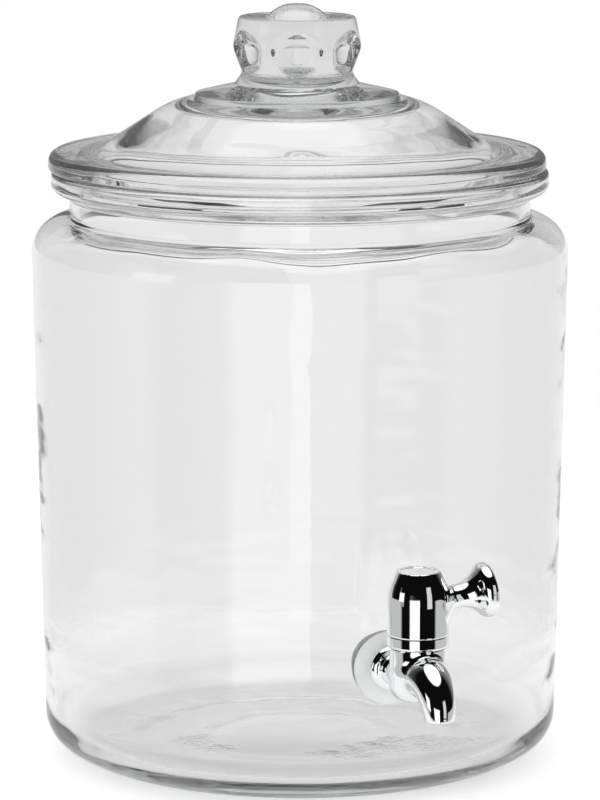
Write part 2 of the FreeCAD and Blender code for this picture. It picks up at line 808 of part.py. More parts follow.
def make_handle_screw():
    """Pan-head screw that clamps the bell on the stem."""
    body = new_body("handle_screw", -valve_distance, sizes.tap_height)
    head_top = recess_floor - sizes.disc_gap
    point = well_floor - sizes.screw_length + sizes.disc_gap
    turn(body, "screw_form", "XZ_Plane", "V_Axis", [
        (0, point),
        (sizes.screw_radius, point),
        (sizes.screw_radius, well_floor),
        (sizes.screw_head_radius, well_floor),
        (sizes.screw_head_radius, head_top, sizes.screw_head_height / 2),
        (0, head_top),
    ])
    return body


def rod_along_tap(name, radius, near, far):
    """Cylinder on the tap's axis between two distances from the jar's axis."""
    rod = doc.addObject("Part::Cylinder", name)
    rod.Placement = Placement(Vector(), Rotation(Vector(1, 0, 0), 90))
    bind(rod, "Radius", radius)
    bind(rod, "Height", far - near)
    bind(rod, "Placement.Base.y", -as_size(near))
    bind(rod, "Placement.Base.z", sizes.tap_height)
    return rod


def wall_cone(name, low, high, offset):
    """Cone that follows the jar's wall around the tap, offset from it."""
    cone = doc.addObject("Part::Cone", name)
    reach = sizes.outer_washer_radius + sizes.jar_wall
    foot = sizes.tap_height - reach
    head = sizes.tap_height + reach
    bind(cone, "Radius1", along_wall(foot, low, high) + offset)
    bind(cone, "Radius2", along_wall(head, low, high) + offset)
    bind(cone, "Height", 2 * reach)
    bind(cone, "Placement.Base.z", foot)
    return cone


def boolean(kind, name, base, tool):
    """Cut one solid by another, or keep what they share."""
    result = doc.addObject(kind, name)
    result.Base = base
    result.Tool = tool
    return result


def make_outer_washer():
    """Soft clear washer: flat against the flange, hollowed to follow the wall outside."""
    bore = sizes.shank_radius + sizes.washer_bore_gap
    start = wall_outside - sizes.jar_wall
    disc = rod_along_tap("outer_washer_disc", sizes.outer_washer_radius, start, flange_back)
    hole = rod_along_tap("outer_washer_hole", bore, start, flange_back)
    ring = boolean("Part::Cut", "outer_washer_ring", disc, hole)
    wall = wall_cone("outer_wall", outer_heel, outer_shoulder, sizes.seat_gap)
    washer = boolean("Part::Cut", "outer_washer", ring, wall)
    washer.Label = "outer_washer"
    doc.recompute()
    return washer


def make_inner_washer():
    """Soft washer inside: crowned to follow the wall, flat towards the nut."""
    bore = sizes.shank_radius + sizes.washer_bore_gap
    disc = rod_along_tap("inner_washer_disc", sizes.inner_washer_radius, inner_washer_face, wall_outside)
    hole = rod_along_tap("inner_washer_hole", bore, inner_washer_face, wall_outside)
    ring = boolean("Part::Cut", "inner_washer_ring", disc, hole)
    wall = wall_cone("inner_wall", inner_heel, inner_shoulder, -sizes.seat_gap)
    washer = boolean("Part::Common", "inner_washer", ring, wall)
    washer.Label = "inner_washer"
    doc.recompute()
    return washer


def make_backing_washer():
    """Thin stiff washer between the soft one and the nut."""
    bore = sizes.shank_radius + sizes.washer_bore_gap
    disc = rod_along_tap("backing_disc", sizes.backing_radius, nut_face, inner_washer_face)
    hole = rod_along_tap("backing_hole", bore, nut_face, inner_washer_face)
    washer = boolean("Part::Cut", "backing_washer", disc, hole)
    washer.Label = "backing_washer"
    doc.recompute()
    return washer


def make_shank_nut():
    """Hexagon nut on the shank: a turned blank with chamfered corners, cut to six flats."""
    body = new_body("shank_nut", 0, sizes.tap_height)
    bore = sizes.shank_radius + sizes.thread_gap
    corner = sizes.nut_across_flats / math.cos(math.radians(30)) / 2
    turn(body, "nut_blank", "YZ_Plane", "H_Axis", [
        (-nut_face, bore),
        (-nut_face, corner - sizes.nut_chamfer),
        (sizes.nut_chamfer / 2 - nut_face, corner),
        (-nut_end - sizes.nut_chamfer / 2, corner),
        (-nut_end, corner - sizes.nut_chamfer),
        (-nut_end, bore),
    ])
    sketch = new_sketch(body, "nut_flats_sketch", "XZ_Plane")
    angles = [math.radians(60 * step) for step in range(6)]
    draw_outline(sketch, [(corner * math.cos(angle), corner * math.sin(angle)) for angle in angles])
    draw_circle(sketch, 2 * corner)
    flats = body.newObject("PartDesign::Pocket", "nut_flats")
    flats.Profile = sketch
    bind(flats, "Length", valve_distance)
    body.Tip = flats
    doc.recompute()
    return body


pieces = [
    make_jar(),
    make_lid(),
    make_tap_body(),
    make_bonnet_ring(),
    make_tap_handle(),
    make_handle_disc(),
    make_handle_screw(),
    make_valve_core(),
    make_core_rings(),
    make_outer_washer(),
    make_inner_washer(),
    make_backing_washer(),
    make_shank_nut(),
]
doc.recompute()

for item in doc.Objects:
    if "Invalid" in item.State or "Error" in item.State:
        raise RuntimeError(f"{item.Label} did not build: {item.State}")
for piece in pieces:
    if piece.Shape.isNull() or not piece.Shape.isValid():
        raise RuntimeError(f"{piece.Label} has no valid shape")

os.makedirs("parts", exist_ok=True)
for piece in pieces:
    piece.Shape.exportStep(f"parts/{piece.Label}.step")
    box = piece.Shape.BoundBox
    print(f"{piece.Label}: {len(piece.Shape.Solids)} solids, {piece.Shape.Volume:.0f} mm3, "
          f"x {box.XMin:.1f} {box.XMax:.1f}, y {box.YMin:.1f} {box.YMax:.1f}, "
          f"z {box.ZMin:.1f} {box.ZMax:.1f}")
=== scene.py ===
"""A glass drinks jar with a domed lid and a chromed lever tap, dressed for a studio photograph.

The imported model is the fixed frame. The glass is turned again here from its own profiles, so that
it refracts cleanly, and every piece gets its material. Lengths in the profiles are in millimetres.
"""

import math

import bpy
import numpy as np
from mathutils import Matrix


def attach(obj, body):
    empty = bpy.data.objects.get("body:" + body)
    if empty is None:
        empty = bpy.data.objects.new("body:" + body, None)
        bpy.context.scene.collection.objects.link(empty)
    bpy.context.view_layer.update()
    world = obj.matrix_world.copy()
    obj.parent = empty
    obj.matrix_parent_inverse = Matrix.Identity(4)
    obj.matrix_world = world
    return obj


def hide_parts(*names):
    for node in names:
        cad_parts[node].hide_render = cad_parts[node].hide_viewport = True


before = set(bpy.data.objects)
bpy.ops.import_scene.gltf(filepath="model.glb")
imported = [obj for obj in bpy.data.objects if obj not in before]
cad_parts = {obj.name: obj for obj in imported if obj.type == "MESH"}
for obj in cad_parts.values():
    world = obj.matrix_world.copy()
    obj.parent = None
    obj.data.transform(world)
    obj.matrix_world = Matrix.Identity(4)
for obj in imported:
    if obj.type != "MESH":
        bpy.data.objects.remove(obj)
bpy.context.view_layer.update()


# Camera: a long lens at the photograph's distance and height, to the left of the tap,
# looking a little down on the jar. Light may cross many glass surfaces before it is given up.
AXIS_DISTANCE = 2.069
CAMERA_HEIGHT = 0.521
CAMERA_TURN = math.radians(-19.3)
CAMERA_PITCH = math.radians(9.72)
FRAME_HEIGHT_PX = 800
FOCAL_PX = 4495
SENSOR = 36
LIGHT_BOUNCES = 32

camera_data = bpy.data.cameras.new("camera")
camera_data.sensor_width = SENSOR
camera_data.lens = FOCAL_PX / FRAME_HEIGHT_PX * SENSOR
camera = bpy.data.objects.new("camera", camera_data)
camera.location = (
    AXIS_DISTANCE * math.sin(CAMERA_TURN),
    -AXIS_DISTANCE * math.cos(CAMERA_TURN),
    CAMERA_HEIGHT,
)
camera.rotation_euler = (math.pi / 2 - CAMERA_PITCH, 0, CAMERA_TURN)
bpy.context.collection.objects.link(camera)
bpy.context.scene.camera = camera
bpy.context.scene.view_settings.view_transform = "Standard"
bpy.context.scene.cycles.max_bounces = LIGHT_BOUNCES
bpy.context.scene.cycles.transmission_bounces = LIGHT_BOUNCES
bpy.context.scene.cycles.glossy_bounces = LIGHT_BOUNCES


# Studio: a white table and a pale backdrop behind the jar, and a dark room on the camera's side
# with a tall softbox, a small high one, a grey card and a softbox overhead. Directions are in
# degrees: to the side from the camera's, and up from level. Levels are brightnesses.
SOFTBOX_SIDE = (-31.0, 60.0)
SOFTBOX_RIGHT = 4.5
SOFTBOX_RISE = (-38.0, 6.0)
HIGH_BOX_SIDE = (-76.0, -56.0)
HIGH_BOX_RISE = (-6.0, 14.0)
CARD_SIDE = (33.0, 52.0)
CARD_RISE = (-66.0, 24.0)
CARD_SLOT = (-14.0, -11.6)
OVERHEAD_RISE = (60.0, 120.0)
BACKDROP_GAP = (19.0, 34.0)
CARD_LEVELS = {"softbox": 1.3, "high_box": 1.2, "overhead": 1.5, "card": 0.7}
TABLE_SIDE = (61.0, 71.0)
TABLE_FAR_SIDE = (110.0, 165.0)
TABLE_LEVELS = (0.56, 0.9)
TABLE_LEAST_THROUGH = 0.5
BACKDROP_SIDE = (100.0, 150.0)
BACKDROP_LEVELS = (0.93, 0.66)
HORIZON = (-4.0, -1.0)
ROOM_BEHIND = 0.3
ROOM_LEAST = 0.004
ROOM_THROUGH = 0.08
DIFFUSE_LEVEL = 0.8
LAMP_AIM_HEIGHT = 0.15


class Graph:
    """A node tree with short calls that add a node, set its plain inputs and link the others."""

    def __init__(self, tree):
        self.tree = tree
        tree.nodes.clear()

    def put(self, kind, settings=None, **inputs):
        """Adds a node. An input is a number, a colour, or another node's output."""
        node = self.tree.nodes.new(kind)
        for name, value in (settings or {}).items():
            setattr(node, name, value)
        for name, value in inputs.items():
            key = int(name[1:]) if name[0] == "i" and name[1:].isdigit() else name.replace("_", " ")
            if isinstance(value, bpy.types.NodeSocket):
                self.tree.links.new(value, node.inputs[key])
            else:
                node.inputs[key].default_value = value
        return node

    def math(self, operation, first, second=0.0, third=0.0):
        """One sum on plain numbers or outputs."""
        node = self.put("ShaderNodeMath", {"operation": operation}, i0=first, i1=second, i2=third)
        return node.outputs[0]

    def ramp(self, value, span, levels=(0.0, 1.0)):
        """A soft step from the first level to the second while value crosses the span."""
        return self.put(
            "ShaderNodeMapRange", {"interpolation_type": "SMOOTHSTEP"},
            Value=value, From_Min=span[0], From_Max=span[1], To_Min=levels[0], To_Max=levels[1],
        ).outputs[0]

    def window(self, value, span, edge):
        """Is 1 where value lies in the span, and falls off to 0 over edge on both sides."""
        low, high = span
        rise = self.ramp(value, (low - edge, low + edge))
        fall = self.ramp(value, (high - edge, high + edge), (1.0, 0.0))
        return self.math("MULTIPLY", rise, fall)

    def mix(self, share, first, second):
        """The first number or output, shifted to the second by the share."""
        node = self.put("ShaderNodeMix", {"data_type": "FLOAT"}, Factor=share, A=first, B=second)
        return node.outputs[0]


world = bpy.data.worlds.new("studio")
world.use_nodes = True
bpy.context.scene.world = world
sky = Graph(world.node_tree)
aim = sky.put("ShaderNodeTexCoord").outputs["Generated"]
turned = sky.put("ShaderNodeVectorRotate", {"rotation_type": "Z_AXIS"}, Vector=aim, Angle=-CAMERA_TURN)
parts = sky.put("ShaderNodeSeparateXYZ", Vector=turned.outputs[0])
to_camera = sky.math("MULTIPLY", parts.outputs["Y"], -1.0)
side = sky.math("DEGREES", sky.math("ARCTAN2", parts.outputs["X"], to_camera))
rise = sky.math("DEGREES", sky.math("ARCSINE", parts.outputs["Z"]))
turned_away = sky.math("ABSOLUTE", side)
surround = sky.ramp(turned_away, TABLE_SIDE)
behind = sky.ramp(turned_away, BACKDROP_SIDE)
above = sky.ramp(rise, HORIZON)
softbox = sky.math(
    "MULTIPLY",
    sky.math("MULTIPLY", sky.math("LESS_THAN", side, SOFTBOX_RIGHT), sky.window(side, SOFTBOX_SIDE, 4.0)),
    sky.window(rise, SOFTBOX_RISE, 2.0),
)
high_box = sky.math("MULTIPLY", sky.window(side, HIGH_BOX_SIDE, 1.0), sky.window(rise, HIGH_BOX_RISE, 2.0))
card = sky.math(
    "MULTIPLY",
    sky.window(side, CARD_SIDE, 1.0),
    sky.math("SUBTRACT", sky.window(rise, CARD_RISE, 2.0), sky.window(rise, CARD_SLOT, 0.4)),
)
overhead = sky.window(rise, OVERHEAD_RISE, 3.0)
cards = sky.math("MULTIPLY", softbox, CARD_LEVELS["softbox"])
for shape, kind in ((high_box, "high_box"), (overhead, "overhead"), (card, "card")):
    cards = sky.math("MAXIMUM", cards, sky.math("MULTIPLY", shape, CARD_LEVELS[kind]))
table = sky.math("MULTIPLY", surround, sky.ramp(turned_away, TABLE_FAR_SIDE, TABLE_LEVELS))
gap = sky.window(rise, BACKDROP_GAP, 2.5)
path = sky.put("ShaderNodeLightPath")
reflected = sky.mix(above, table, sky.math("MULTIPLY", behind, ROOM_BEHIND))
reflected = sky.math("MAXIMUM", sky.math("MAXIMUM", reflected, cards), ROOM_LEAST)
backdrop = sky.mix(behind, ROOM_THROUGH, sky.mix(gap, *BACKDROP_LEVELS))
through = sky.mix(above, sky.math("MAXIMUM", table, TABLE_LEAST_THROUGH), backdrop)
through = sky.math("MAXIMUM", through, cards)
level = sky.mix(path.outputs["Is Reflection Ray"], through, reflected)
level = sky.mix(path.outputs["Is Diffuse Ray"], level, DIFFUSE_LEVEL)
level = sky.mix(path.outputs["Is Camera Ray"], level, 1.0)
shine = sky.put("ShaderNodeBackground", Color=(1, 1, 1, 1), Strength=level)
sky.put("ShaderNodeOutputWorld", Surface=shine.outputs[0])


def lamp(name, place, size, power):
    """A soft area lamp that faces the jar."""
    data = bpy.data.lights.new(name, "AREA")
    data.shape = "RECTANGLE"
    data.size, data.size_y = size
    data.energy = power
    made = bpy.data.objects.new(name, data)
    made.location = place
    reach = math.hypot(place[0], place[1])
    made.rotation_euler = (math.atan2(reach, place[2] - LAMP_AIM_HEIGHT), 0, math.atan2(place[0], -place[1]))
    made.visible_camera = False
    made.visible_glossy = False
    made.visible_transmission = False
    bpy.context.collection.objects.link(made)


lamp("key_lamp", (-1.3, -1.5, 1.5), (1.0, 1.4), 14)
lamp("fill_lamp", (1.6, -1.0, 1.2), (1.2, 1.2), 7)


# Floor: a plain white sheet under the jar that fades into the white surround, with a soft shadow.
FLOOR_RADIUS = 1.0
FLOOR_DROP = 0.0005
FLOOR_SIDES = 96
FLOOR_FADE = (0.55, 0.97)
MIRRORED_FADE = (0.26, 0.34)
FLOOR_GLOW = (0.2, 0.36)

floor_mesh = bpy.data.meshes.new("floor")
ring = np.linspace(0, 2 * math.pi, FLOOR_SIDES, endpoint=False)
rim = np.column_stack([FLOOR_RADIUS * np.cos(ring), FLOOR_RADIUS * np.sin(ring), np.full(FLOOR_SIDES, -FLOOR_DROP)])
floor_mesh.from_pydata(rim.tolist(), [], [list(range(FLOOR_SIDES))])
floor = bpy.data.objects.new("floor", floor_mesh)
bpy.context.collection.objects.link(floor)

floor_look = bpy.data.materials.new("floor_sheet")
floor_look.use_nodes = True
g = Graph(floor_look.node_tree)
spot = g.put("ShaderNodeTexCoord").outputs["Object"]
far = g.put("ShaderNodeVectorMath", {"operation": "LENGTH"}, i0=spot).outputs["Value"]
fade = g.ramp(far, FLOOR_FADE)
way = g.put("ShaderNodeLightPath")
near_only = g.ramp(far, MIRRORED_FADE)
fade = g.math("MAXIMUM", fade, g.math("MULTIPLY", near_only, way.outputs["Is Glossy Ray"]))
sheet = g.put("ShaderNodeBsdfDiffuse", Color=(0.86, 0.86, 0.86, 1))
glow = g.put("ShaderNodeMapRange", Value=way.outputs["Is Camera Ray"], To_Min=FLOOR_GLOW[0], To_Max=FLOOR_GLOW[1])
own = g.put("ShaderNodeEmission", Color=(1, 1, 1, 1), Strength=glow.outputs[0])
lit = g.put("ShaderNodeAddShader", i0=sheet.outputs[0], i1=own.outputs[0])
clear = g.put("ShaderNodeBsdfTransparent")
blend = g.put("ShaderNodeMixShader", i0=fade, i1=lit.outputs[0], i2=clear.outputs[0])
g.put("ShaderNodeOutputMaterial", Surface=blend.outputs[0])
floor_mesh.materials.append(floor_look)


# Jar: a thick pressed and blown glass jar with straight sides, a rounded heel and shoulder,
# a short neck under a beaded rim, a pushed-up foot, and a drilled hole for the tap's shank.
FLAT = 0.0
JAR_OUTSIDE = [
    (0, 0, FLAT), (79, 0, FLAT), (100.5, 0, 38),
    (119.6, 11.4, 17), (124.6, 253.2, 15.6), (106.7, 253.2, 1.6), (106.7, 263.0, 1.6),
    (115.2, 267.0, 3.6), (115.2, 275.5, 2.4), (103.6, 275.5, 1.2),
]
JAR_INSIDE = [
    (102.2, 274.1, FLAT), (102.2, 248.7, 3.85), (120.1, 248.7, 11.1), (115.1, 15.9, 14),
    (100.5, 7.4, 24), (0, 7.4, FLAT),
]
FOOT_RADIUS = 79
FOOT_RECESS = 0.3
FOOT_EASE = 2.5
PUSH_UP_RADIUS = 48
PUSH_UP_RISE = 2.8
FOOT_NOTCHES = 30
FOOT_NOTCH_DEPTH = 0.12
FOOT_NOTCH_SHARE = 0.62
FOOT_NOTCHES_FROM = 84
BASE_TOP = 20
TAP_HEIGHT = 65.5
HOLE_RADIUS = 8.6
HOLE_STEPS = 6
HOLE_REACH = 3
HOLE_WALL_RADIUS = 120.7
NEAR_HOLE = [1.3, 1.7, 2.2, 2.8]
WALL_FROM = 110
WAVES_FROM = 112
WAVES_OFF_TAP = 30
NECK_WAVES = (236, 256)
NECK_WAVES_EASE = 8
SPACING = 4.0
COLUMNS_FROM = 13.5
COLUMN_STEP = 1.5
NOT_NEAR = 9.0
STIPPLE_SPOTS = [
    (-0.051, 0.004, 0.014), (-0.046, -0.012, 0.012), (0.001, -0.045, 0.012), (0.014, -0.045, 0.014),
    (0.030, -0.037, 0.016), (0.039, -0.027, 0.012), (0.052, -0.036, 0.019),
]
GLASS_DENSITY = 8.0
GLASS_WAVE_SCALE = 22.0
GLASS_WAVE_HEIGHT = 0.0005
STIPPLE_TOP = 0.0035
STIPPLE_EDGE = 0.01
STIPPLE_WANDER = 0.02
STIPPLE_DEPTH = 0.0006


def round_corners(corners, spacing):
    """Points along an outline of (r, z, rounding), with each corner a tangent arc of its rounding.

    The arc of radius R at a corner that turns by a starts R*tan(a/2) before the corner.
    """
    points = []
    spots = np.array([corner[:2] for corner in corners], float)
    for index, corner in enumerate(corners):
        at = spots[index]
        if corner[2] == FLAT or index in (0, len(corners) - 1):
            points.append(at)
            continue
        back = spots[index - 1] - at
        ahead = spots[index + 1] - at
        back /= np.hypot(*back)
        ahead /= np.hypot(*ahead)
        half = math.acos(np.clip(np.dot(back, ahead), -1, 1)) / 2
        middle = back + ahead
        middle /= np.hypot(*middle)
        centre = at + middle * corner[2] / math.sin(half)
        start = at + back * corner[2] / math.tan(half) - centre
        end = at + ahead * corner[2] / math.tan(half) - centre
        first = math.atan2(start[1], start[0])
        sweep = math.atan2(end[1], end[0]) - first
        sweep = (sweep + math.pi) % (2 * math.pi) - math.pi
        count = max(4, int(abs(sweep) / math.radians(6)), int(abs(sweep) * corner[2] / spacing))
        angles = first + sweep * np.linspace(0, 1, count + 1)
        points.extend(centre + corner[2] * np.column_stack([np.cos(angles), np.sin(angles)]))
    dense = [points[0]]
    for point in points[1:]:
        length = np.hypot(*(point - dense[-1]))
        if length < 1e-6:
            continue
        count = max(1, int(math.ceil(length / spacing)))
        start = dense[-1]
        dense.extend(start + (point - start) * step / count for step in range(1, count + 1))
    return np.array(dense)


def lathe_faces(rows, columns):
    """Faces of a turned skin whose first and last rows are single points at its poles."""
    grid = 1 + np.arange((rows - 2) * columns).reshape(rows - 2, columns)
    beside = np.roll(grid, -1, axis=1)
    walls = np.stack([grid[:-1], beside[:-1], beside[1:], grid[1:]], axis=-1).reshape(-1, 4)
    last = 1 + (rows - 2) * columns
    foot = [(0, b, a) for a, b in zip(grid[0], beside[0])]
    top = [(last, a, b) for a, b in zip(grid[-1], beside[-1])]
    return walls.tolist(), foot + top


def mesh_piece(name, points_mm, faces, sharp=35):
    """A smooth-shaded mesh object from points in millimetres."""
    mesh = bpy.data.meshes.new(name)
    mesh.from_pydata((np.asarray(points_mm) / 1000).tolist(), [], faces)
    mesh.shade_smooth()
    mesh.set_sharp_from_angle(angle=math.radians(sharp))
    made = bpy.data.objects.new(name, mesh)
    bpy.context.collection.objects.link(made)
    return made


def tap_hole(x, z, half_width):
    """Moves wall points round the tap hole so that the grid's square about it becomes its circle.

    With s the square distance (1 on the square), a point goes to HOLE_RADIUS * s * p / |p|, and
    this fades out to nothing at s = HOLE_REACH.
    """
    across = z - TAP_HEIGHT
    square = np.maximum(np.abs(x) / half_width, np.abs(across) / HOLE_RADIUS)
    fade = np.clip((HOLE_REACH - square) / (HOLE_REACH - 1), 0, 1)
    fade = fade * fade * (3 - 2 * fade)
    length = np.maximum(np.hypot(x, across), 1e-9)
    round_x = HOLE_RADIUS * square * x / length
    round_z = HOLE_RADIUS * square * across / length
    return x + (round_x - x) * fade, z + (round_z - across) * fade, square


outside = round_corners(JAR_OUTSIDE, SPACING)
inside = round_corners(JAR_INSIDE, SPACING)
profile = np.vstack([outside, inside])
near_hole = np.array(NEAR_HOLE)
hole_rows = TAP_HEIGHT + HOLE_RADIUS * np.arange(-HOLE_STEPS, HOLE_STEPS + 1) / HOLE_STEPS
hole_rows = np.concatenate([
    TAP_HEIGHT - HOLE_RADIUS * near_hole[::-1], hole_rows, TAP_HEIGHT + HOLE_RADIUS * near_hole,
])
clear_of_hole = np.abs(profile[:, 1] - TAP_HEIGHT) > HOLE_RADIUS * HOLE_REACH
clear_of_hole |= profile[:, 0] <= WALL_FROM
rows = []
for index, (radius, height) in enumerate(profile):
    if clear_of_hole[index]:
        rows.append((radius, height))
        continue
    if clear_of_hole[index - 1]:
        climbing = profile[index + 1, 1] > height
        before = profile[index - 1]
        after = next(profile[k] for k in range(index, len(profile)) if clear_of_hole[k])
        for level_mm in (hole_rows if climbing else hole_rows[::-1]):
            share = (level_mm - before[1]) / (after[1] - before[1])
            rows.append((before[0] + (after[0] - before[0]) * share, level_mm))
profile = np.array(rows)

hole_angle = np.degrees(np.arcsin(HOLE_RADIUS * np.arange(0, HOLE_STEPS + 1) / HOLE_STEPS / HOLE_WALL_RADIUS))
hole_edge = hole_angle[-1]
one_side = np.concatenate([hole_angle, hole_edge * near_hole, np.arange(COLUMNS_FROM, 180, COLUMN_STEP)])
around = np.radians(np.concatenate([one_side, [180.0], -one_side[:0:-1]]) - 90)
columns = len(around)

inside_dome = np.minimum(profile[:, 0] / PUSH_UP_RADIUS, 1)
low = profile[:, 1] < BASE_TOP
under = low & (np.arange(len(profile)) < len(outside)) & (profile[:, 0] < FOOT_RADIUS)
inward = np.clip((FOOT_RADIUS - profile[under, 0]) / FOOT_EASE, 0, 1)
profile[under, 1] = FOOT_RECESS * (0.5 - 0.5 * np.cos(math.pi * inward))
profile[low, 1] += PUSH_UP_RISE * (1 - inside_dome[low] ** 2)
radius = profile[:, :1]
wave = 0.05 * np.sin(3 * around + profile[:, 1:] / 31) + 0.04 * np.sin(7 * around - profile[:, 1:] / 17)
wavy = np.zeros(len(profile))
is_inner = np.arange(len(profile)) > len(outside)
wavy[is_inner & (profile[:, 0] > WAVES_FROM) & (np.abs(profile[:, 1] - TAP_HEIGHT) > WAVES_OFF_TAP)] = 1.0
ring_x = (radius + wave * wavy[:, None]) * np.cos(around)
ring_y = (radius + wave * wavy[:, None]) * np.sin(around)
ring_z = np.repeat(profile[:, 1:], columns, axis=1)
bar = (around * FOOT_NOTCHES / (2 * math.pi)) % 1
notch = np.clip((FOOT_NOTCH_SHARE / 2 - np.abs(bar - 0.5)) * 2.5 + 0.5, 0, 1)
on_foot = (profile[:, 0] > FOOT_NOTCHES_FROM) & (profile[:, 1] < FOOT_NOTCH_DEPTH)
on_foot &= np.arange(len(profile)) < len(outside)
ring_z[on_foot] = np.maximum(ring_z[on_foot], FOOT_NOTCH_DEPTH * notch)
shoulder = np.clip((profile[:, 1] - NECK_WAVES[0]) / NECK_WAVES_EASE, 0, 1)
shoulder *= np.clip((NECK_WAVES[1] - profile[:, 1]) / NECK_WAVES_EASE, 0, 1)
sag = 0.45 * np.sin(5 * around + 1) + 0.3 * np.sin(9 * around + 2) + 0.2 * np.sin(14 * around)
ring_z += np.outer(shoulder * is_inner, sag)
square = np.full(ring_x.shape, NOT_NEAR)
wall_rows = (np.abs(profile[:, 1] - TAP_HEIGHT) < HOLE_RADIUS * HOLE_REACH) & (profile[:, 0] > WALL_FROM)
front = np.abs((np.degrees(around) + 90 + 180) % 360 - 180) < hole_edge * HOLE_REACH
patch = np.ix_(wall_rows, front)
patch_radius = np.repeat(radius[wall_rows], front.sum(), axis=1)
half_width = patch_radius * math.sin(math.radians(hole_edge))
new_x, new_z, how_far = tap_hole(ring_x[patch], ring_z[patch], half_width)
wall_foot, wall_top = JAR_OUTSIDE[3], JAR_OUTSIDE[4]
slope = (wall_top[0] - wall_foot[0]) / (wall_top[1] - wall_foot[1])
new_radius = patch_radius + (new_z - ring_z[patch]) * slope
ring_x[patch] = new_x
ring_z[patch] = new_z
ring_y[patch] = -np.sqrt(new_radius ** 2 - new_x ** 2)
square[patch] = how_far

points = np.stack([ring_x, ring_y, ring_z], axis=-1)
points = np.vstack([points[0, :1], points[1:-1].reshape(-1, 3), points[-1, :1]])
walls, caps = lathe_faces(len(profile), columns)
flags = np.concatenate([[NOT_NEAR], square[1:-1].ravel(), [NOT_NEAR]])
walls = np.array(walls)
drilled = (flags[walls] <= 1.0001).all(axis=1)
edges = {}
for face in walls[drilled].tolist():
    for a, b in zip(face, face[1:] + face[:1]):
        if edges.pop((b, a), None) is None:
            edges[(a, b)] = True
outer_edges = {a: b for a, b in edges if a < len(points) / 2}
inner_edges = {a: b for a, b in edges if a >= len(points) / 2}


def in_order(links):
    """The hole's corner numbers, one after the other round the hole."""
    start = max(links, key=lambda k: (round(points[k][2], 3), -abs(points[k][0])))
    chain = [start]
    while links[chain[-1]] != start:
        chain.append(links[chain[-1]])
    return chain


outer_ring = in_order(outer_edges)
inner_ring = in_order(inner_edges)
if np.sign(points[outer_ring[1]][0]) != np.sign(points[inner_ring[1]][0]):
    inner_ring = inner_ring[:1] + inner_ring[:0:-1]
count = len(outer_ring)
drill = []
for k in range(count):
    a, b = outer_ring[k], outer_ring[(k + 1) % count]
    c, d = inner_ring[(k + 1) % count], inner_ring[k]
    drill.append((a, b, c, d))
faces = walls[~drilled].tolist() + caps + drill

jar = mesh_piece("jar_glass", points, faces)
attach(jar, "vessel")
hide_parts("jar")


def glass_look(name, stippled=False):
    """Clear polished glass with faint waves in its skin, stippled in patches under the foot.

    The lamps' light passes straight through it, and thick glass takes a little of the light.
    """
    look = bpy.data.materials.new(name)
    look.use_nodes = True
    g = Graph(look.node_tree)
    glass = g.put(
        "ShaderNodeBsdfPrincipled", Base_Color=(1, 1, 1, 1), Roughness=0.0,
        IOR=1.5, Transmission_Weight=1.0,
    )
    spot = g.put("ShaderNodeTexCoord").outputs["Object"]
    flow = g.put("ShaderNodeMapping", Vector=spot, Scale=(1.0, 1.0, 3.0))
    waves = g.put("ShaderNodeTexNoise", Vector=flow.outputs[0], Scale=GLASS_WAVE_SCALE, Detail=1.0).outputs[0]
    bump = g.put("ShaderNodeBump", Strength=1.0, Distance=GLASS_WAVE_HEIGHT, Height=waves)
    if stippled:
        height = g.put("ShaderNodeSeparateXYZ", Vector=spot).outputs["Z"]
        under = g.math("LESS_THAN", height, STIPPLE_TOP)
        wander = g.put("ShaderNodeTexNoise", Vector=spot, Scale=60.0, Detail=2.0).outputs[0]
        patches = 0.0
        for x, y, size in STIPPLE_SPOTS:
            off = g.put("ShaderNodeVectorMath", {"operation": "DISTANCE"}, i0=spot, i1=(x, y, 0.0)).outputs["Value"]
            ragged = g.math("ADD", off, g.math("MULTIPLY", wander, STIPPLE_WANDER))
            spread = g.put("ShaderNodeMapRange", Value=ragged, From_Min=size + STIPPLE_EDGE, From_Max=size)
            patches = g.math("MAXIMUM", patches, spread.outputs[0])
        grain = g.put("ShaderNodeTexNoise", Vector=spot, Scale=420.0, Detail=1.0).outputs[0]
        raised = g.math("MULTIPLY", grain, g.math("MULTIPLY", under, patches))
        bump = g.put("ShaderNodeBump", Strength=1.0, Distance=STIPPLE_DEPTH, Height=raised, Normal=bump.outputs[0])
    g.tree.links.new(bump.outputs[0], glass.inputs["Normal"])
    clear = g.put("ShaderNodeBsdfTransparent", Color=(0.93, 0.94, 0.935, 1))
    way = g.put("ShaderNodeLightPath")
    mixed = g.put(
        "ShaderNodeMixShader", i0=way.outputs["Is Shadow Ray"], i1=glass.outputs[0], i2=clear.outputs[0],
    )
    tint = g.put("ShaderNodeVolumeAbsorption", Color=(0.4, 0.42, 0.41, 1), Density=GLASS_DENSITY)
    g.put("ShaderNodeOutputMaterial", Surface=mixed.outputs[0], Volume=tint.outputs[0])
    return look


jar.data.materials.append(glass_look("jar_glass_look", stippled=True))


